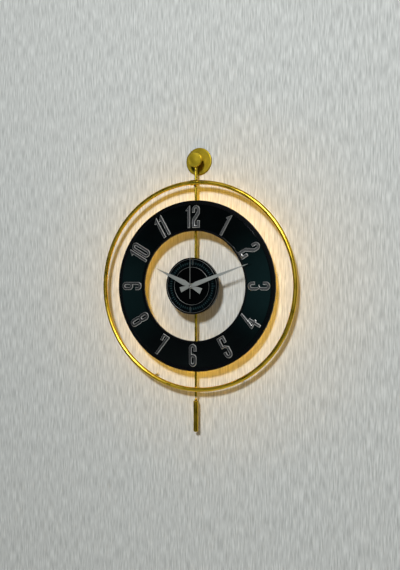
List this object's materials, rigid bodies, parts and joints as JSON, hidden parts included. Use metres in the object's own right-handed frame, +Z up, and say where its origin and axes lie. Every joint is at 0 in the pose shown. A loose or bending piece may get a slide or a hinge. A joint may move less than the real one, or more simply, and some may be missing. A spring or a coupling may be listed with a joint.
{
  "type": "pendulum wall clock",
  "caption": "Wall clock hung from a round peg: gold hoop, black dial ring with raised silver numerals, small centre dial with hands, back light and a rod pendulum.",
  "frame": {"origin": "mouth of the threaded hole in the wall peg, at the centre of the flange's rear face, on the wall plane", "axes": "+Y into the wall, so the dial faces -Y; +Z up along the hanging rod; +X to the right as seen from the front"},
  "size_m": [0.5016, 0.0565, 0.68],
  "materials": {
    "gold": "satin gold plating over mild steel tube and rod",
    "dark_screw": "blackened screws",
    "pad_rubber": "soft pale silicone",
    "ring_black": "satin black",
    "face_gloss": "near-black gloss",
    "channel_aluminium": "extruded, anodised",
    "strip_white": "white tape with light chips",
    "diffuser": "opal",
    "case_plastic": "moulded black",
    "disc_black": "gloss black",
    "silver": "polished",
    "bracket_black": "black powder coat",
    "nut_brass": "turned",
    "gear_plastic": "natural acetal",
    "soft_iron": "stamped",
    "copper_coil": "enamelled wire, set in resin",
    "board_green": "printed board",
    "contact_nickel": "nickel plated",
    "battery_wrap": "plain wrapped cell",
    "pipe_brass": "turned",
    "hand_silver": "satin",
    "numeral_silver": "brushed"
  },
  "bodies": {
    "wall_mount": {"wall_flange": "gold", "wall_peg": "gold", "peg_cap": "gold"},
    "battery": {"battery": "battery_wrap"},
    "rotor": {"rotor": "gear_plastic"},
    "intermediate_wheel": {"intermediate_wheel": "gear_plastic"},
    "third_wheel": {"third_wheel": "gear_plastic"},
    "centre_wheel": {"centre_wheel": "gear_plastic"},
    "seconds": {"second_wheel": "gear_plastic", "second_hand": "hand_silver"},
    "minutes": {"minute_pipe": "pipe_brass", "minute_hand": "hand_silver"},
    "minute_wheel": {"minute_wheel": "gear_plastic"},
    "hours": {"hour_wheel": "gear_plastic", "hour_hand": "hand_silver"},
    "set_knob": {"set_knob": "gear_plastic"},
    "pendulum": {"pendulum_rod": "gold", "rating_nut": "gold", "pendulum_bob": "gold"},
    "clock": {"battery_contacts": "contact_nickel", "centre_bezel": "silver", "centre_bracket": "bracket_black", "centre_dial": "disc_black", "centre_markers": "silver", "circuit_board": "board_green", "clamp_screws": "dark_screw", "coil": "copper_coil", "dc_inlet": "case_plastic", "dial_base_ring": "ring_black", "dial_face_ring": "face_gloss", "fixing_nut": "nut_brass", "foot_pads": "pad_rubber", "foot_pins": "gold", "hanger_eye": "gold", "hoop": "gold", "hoop_sleeve": "gold", "led_channel": "channel_aluminium", "led_diffuser": "diffuser", "led_strip": "strip_white", "movement_case": "case_plastic", "numeral_1": "numeral_silver", "numeral_10": "numeral_silver", "numeral_11": "numeral_silver", "numeral_12": "numeral_silver", "numeral_2": "numeral_silver", "numeral_3": "numeral_silver", "numeral_4": "numeral_silver", "numeral_5": "numeral_silver", "numeral_6": "numeral_silver", "numeral_7": "numeral_silver", "numeral_8": "numeral_silver", "numeral_9": "numeral_silver", "pendulum_bracket": "bracket_black", "rear_cover": "case_plastic", "ring_clamps": "ring_black", "sleeve_screw": "dark_screw", "spine_rod": "gold", "stator": "soft_iron", "track_ring": "silver", "train_bridge": "gear_plastic"}
  },
  "joints": [
    {"name": "clock_swing", "type": "hinge", "parent": "wall_mount", "child": "clock", "pos_m": [0, -0.02, 0], "axis": [0, 1, 0], "range_deg": [-3, 3]},
    {"name": "second_hand_turn", "type": "hinge", "parent": "clock", "child": "seconds", "pos_m": [0, -0.0549, -0.3], "axis": [0, 1, 0], "continuous": true},
    {"name": "third_wheel_turn", "type": "hinge", "parent": "clock", "child": "third_wheel", "pos_m": [0.0115, -0.034, -0.29581], "axis": [0, 1, 0], "continuous": true},
    {"name": "centre_wheel_turn", "type": "hinge", "parent": "clock", "child": "centre_wheel", "pos_m": [0, -0.036, -0.3], "axis": [0, 1, 0], "continuous": true},
    {"name": "intermediate_wheel_turn", "type": "hinge", "parent": "clock", "child": "intermediate_wheel", "pos_m": [0, -0.031, -0.2892], "axis": [0, 1, 0], "continuous": true},
    {"name": "rotor_turn", "type": "hinge", "parent": "clock", "child": "rotor", "pos_m": [0.00849, -0.029, -0.2843], "axis": [0, 1, 0], "continuous": true},
    {"name": "minute_hand_turn", "type": "hinge", "parent": "clock", "child": "minutes", "pos_m": [0, -0.053, -0.3], "axis": [0, 1, 0], "continuous": true},
    {"name": "minute_wheel_turn", "type": "hinge", "parent": "clock", "child": "minute_wheel", "pos_m": [-0.012, -0.038, -0.3], "axis": [0, 1, 0], "continuous": true},
    {"name": "hour_hand_turn", "type": "hinge", "parent": "clock", "child": "hours", "pos_m": [0, -0.0508, -0.3], "axis": [0, 1, 0], "continuous": true},
    {"name": "set_knob_turn", "type": "hinge", "parent": "clock", "child": "set_knob", "pos_m": [-0.012, -0.024, -0.288], "axis": [0, 1, 0], "continuous": true},
    {"name": "battery_slide", "type": "slide", "parent": "clock", "child": "battery", "axis": [0, 1, 0], "range_m": [0, 0.018]},
    {"name": "pendulum_swing", "type": "hinge", "parent": "clock", "child": "pendulum", "pos_m": [0, -0.02, -0.34], "axis": [0, 1, 0], "range_deg": [-4, 4]}
  ],
  "couplings": [
    {"joint": "third_wheel_turn", "follows": "second_hand_turn", "ratio": -0.13333},
    {"joint": "centre_wheel_turn", "follows": "second_hand_turn", "ratio": 0.016667},
    {"joint": "intermediate_wheel_turn", "follows": "second_hand_turn", "ratio": -5},
    {"joint": "rotor_turn", "follows": "second_hand_turn", "ratio": 30},
    {"joint": "minute_wheel_turn", "follows": "minute_hand_turn", "ratio": -0.33333},
    {"joint": "hour_hand_turn", "follows": "minute_hand_turn", "ratio": 0.083333},
    {"joint": "set_knob_turn", "follows": "minute_hand_turn", "ratio": 1}
  ]
}
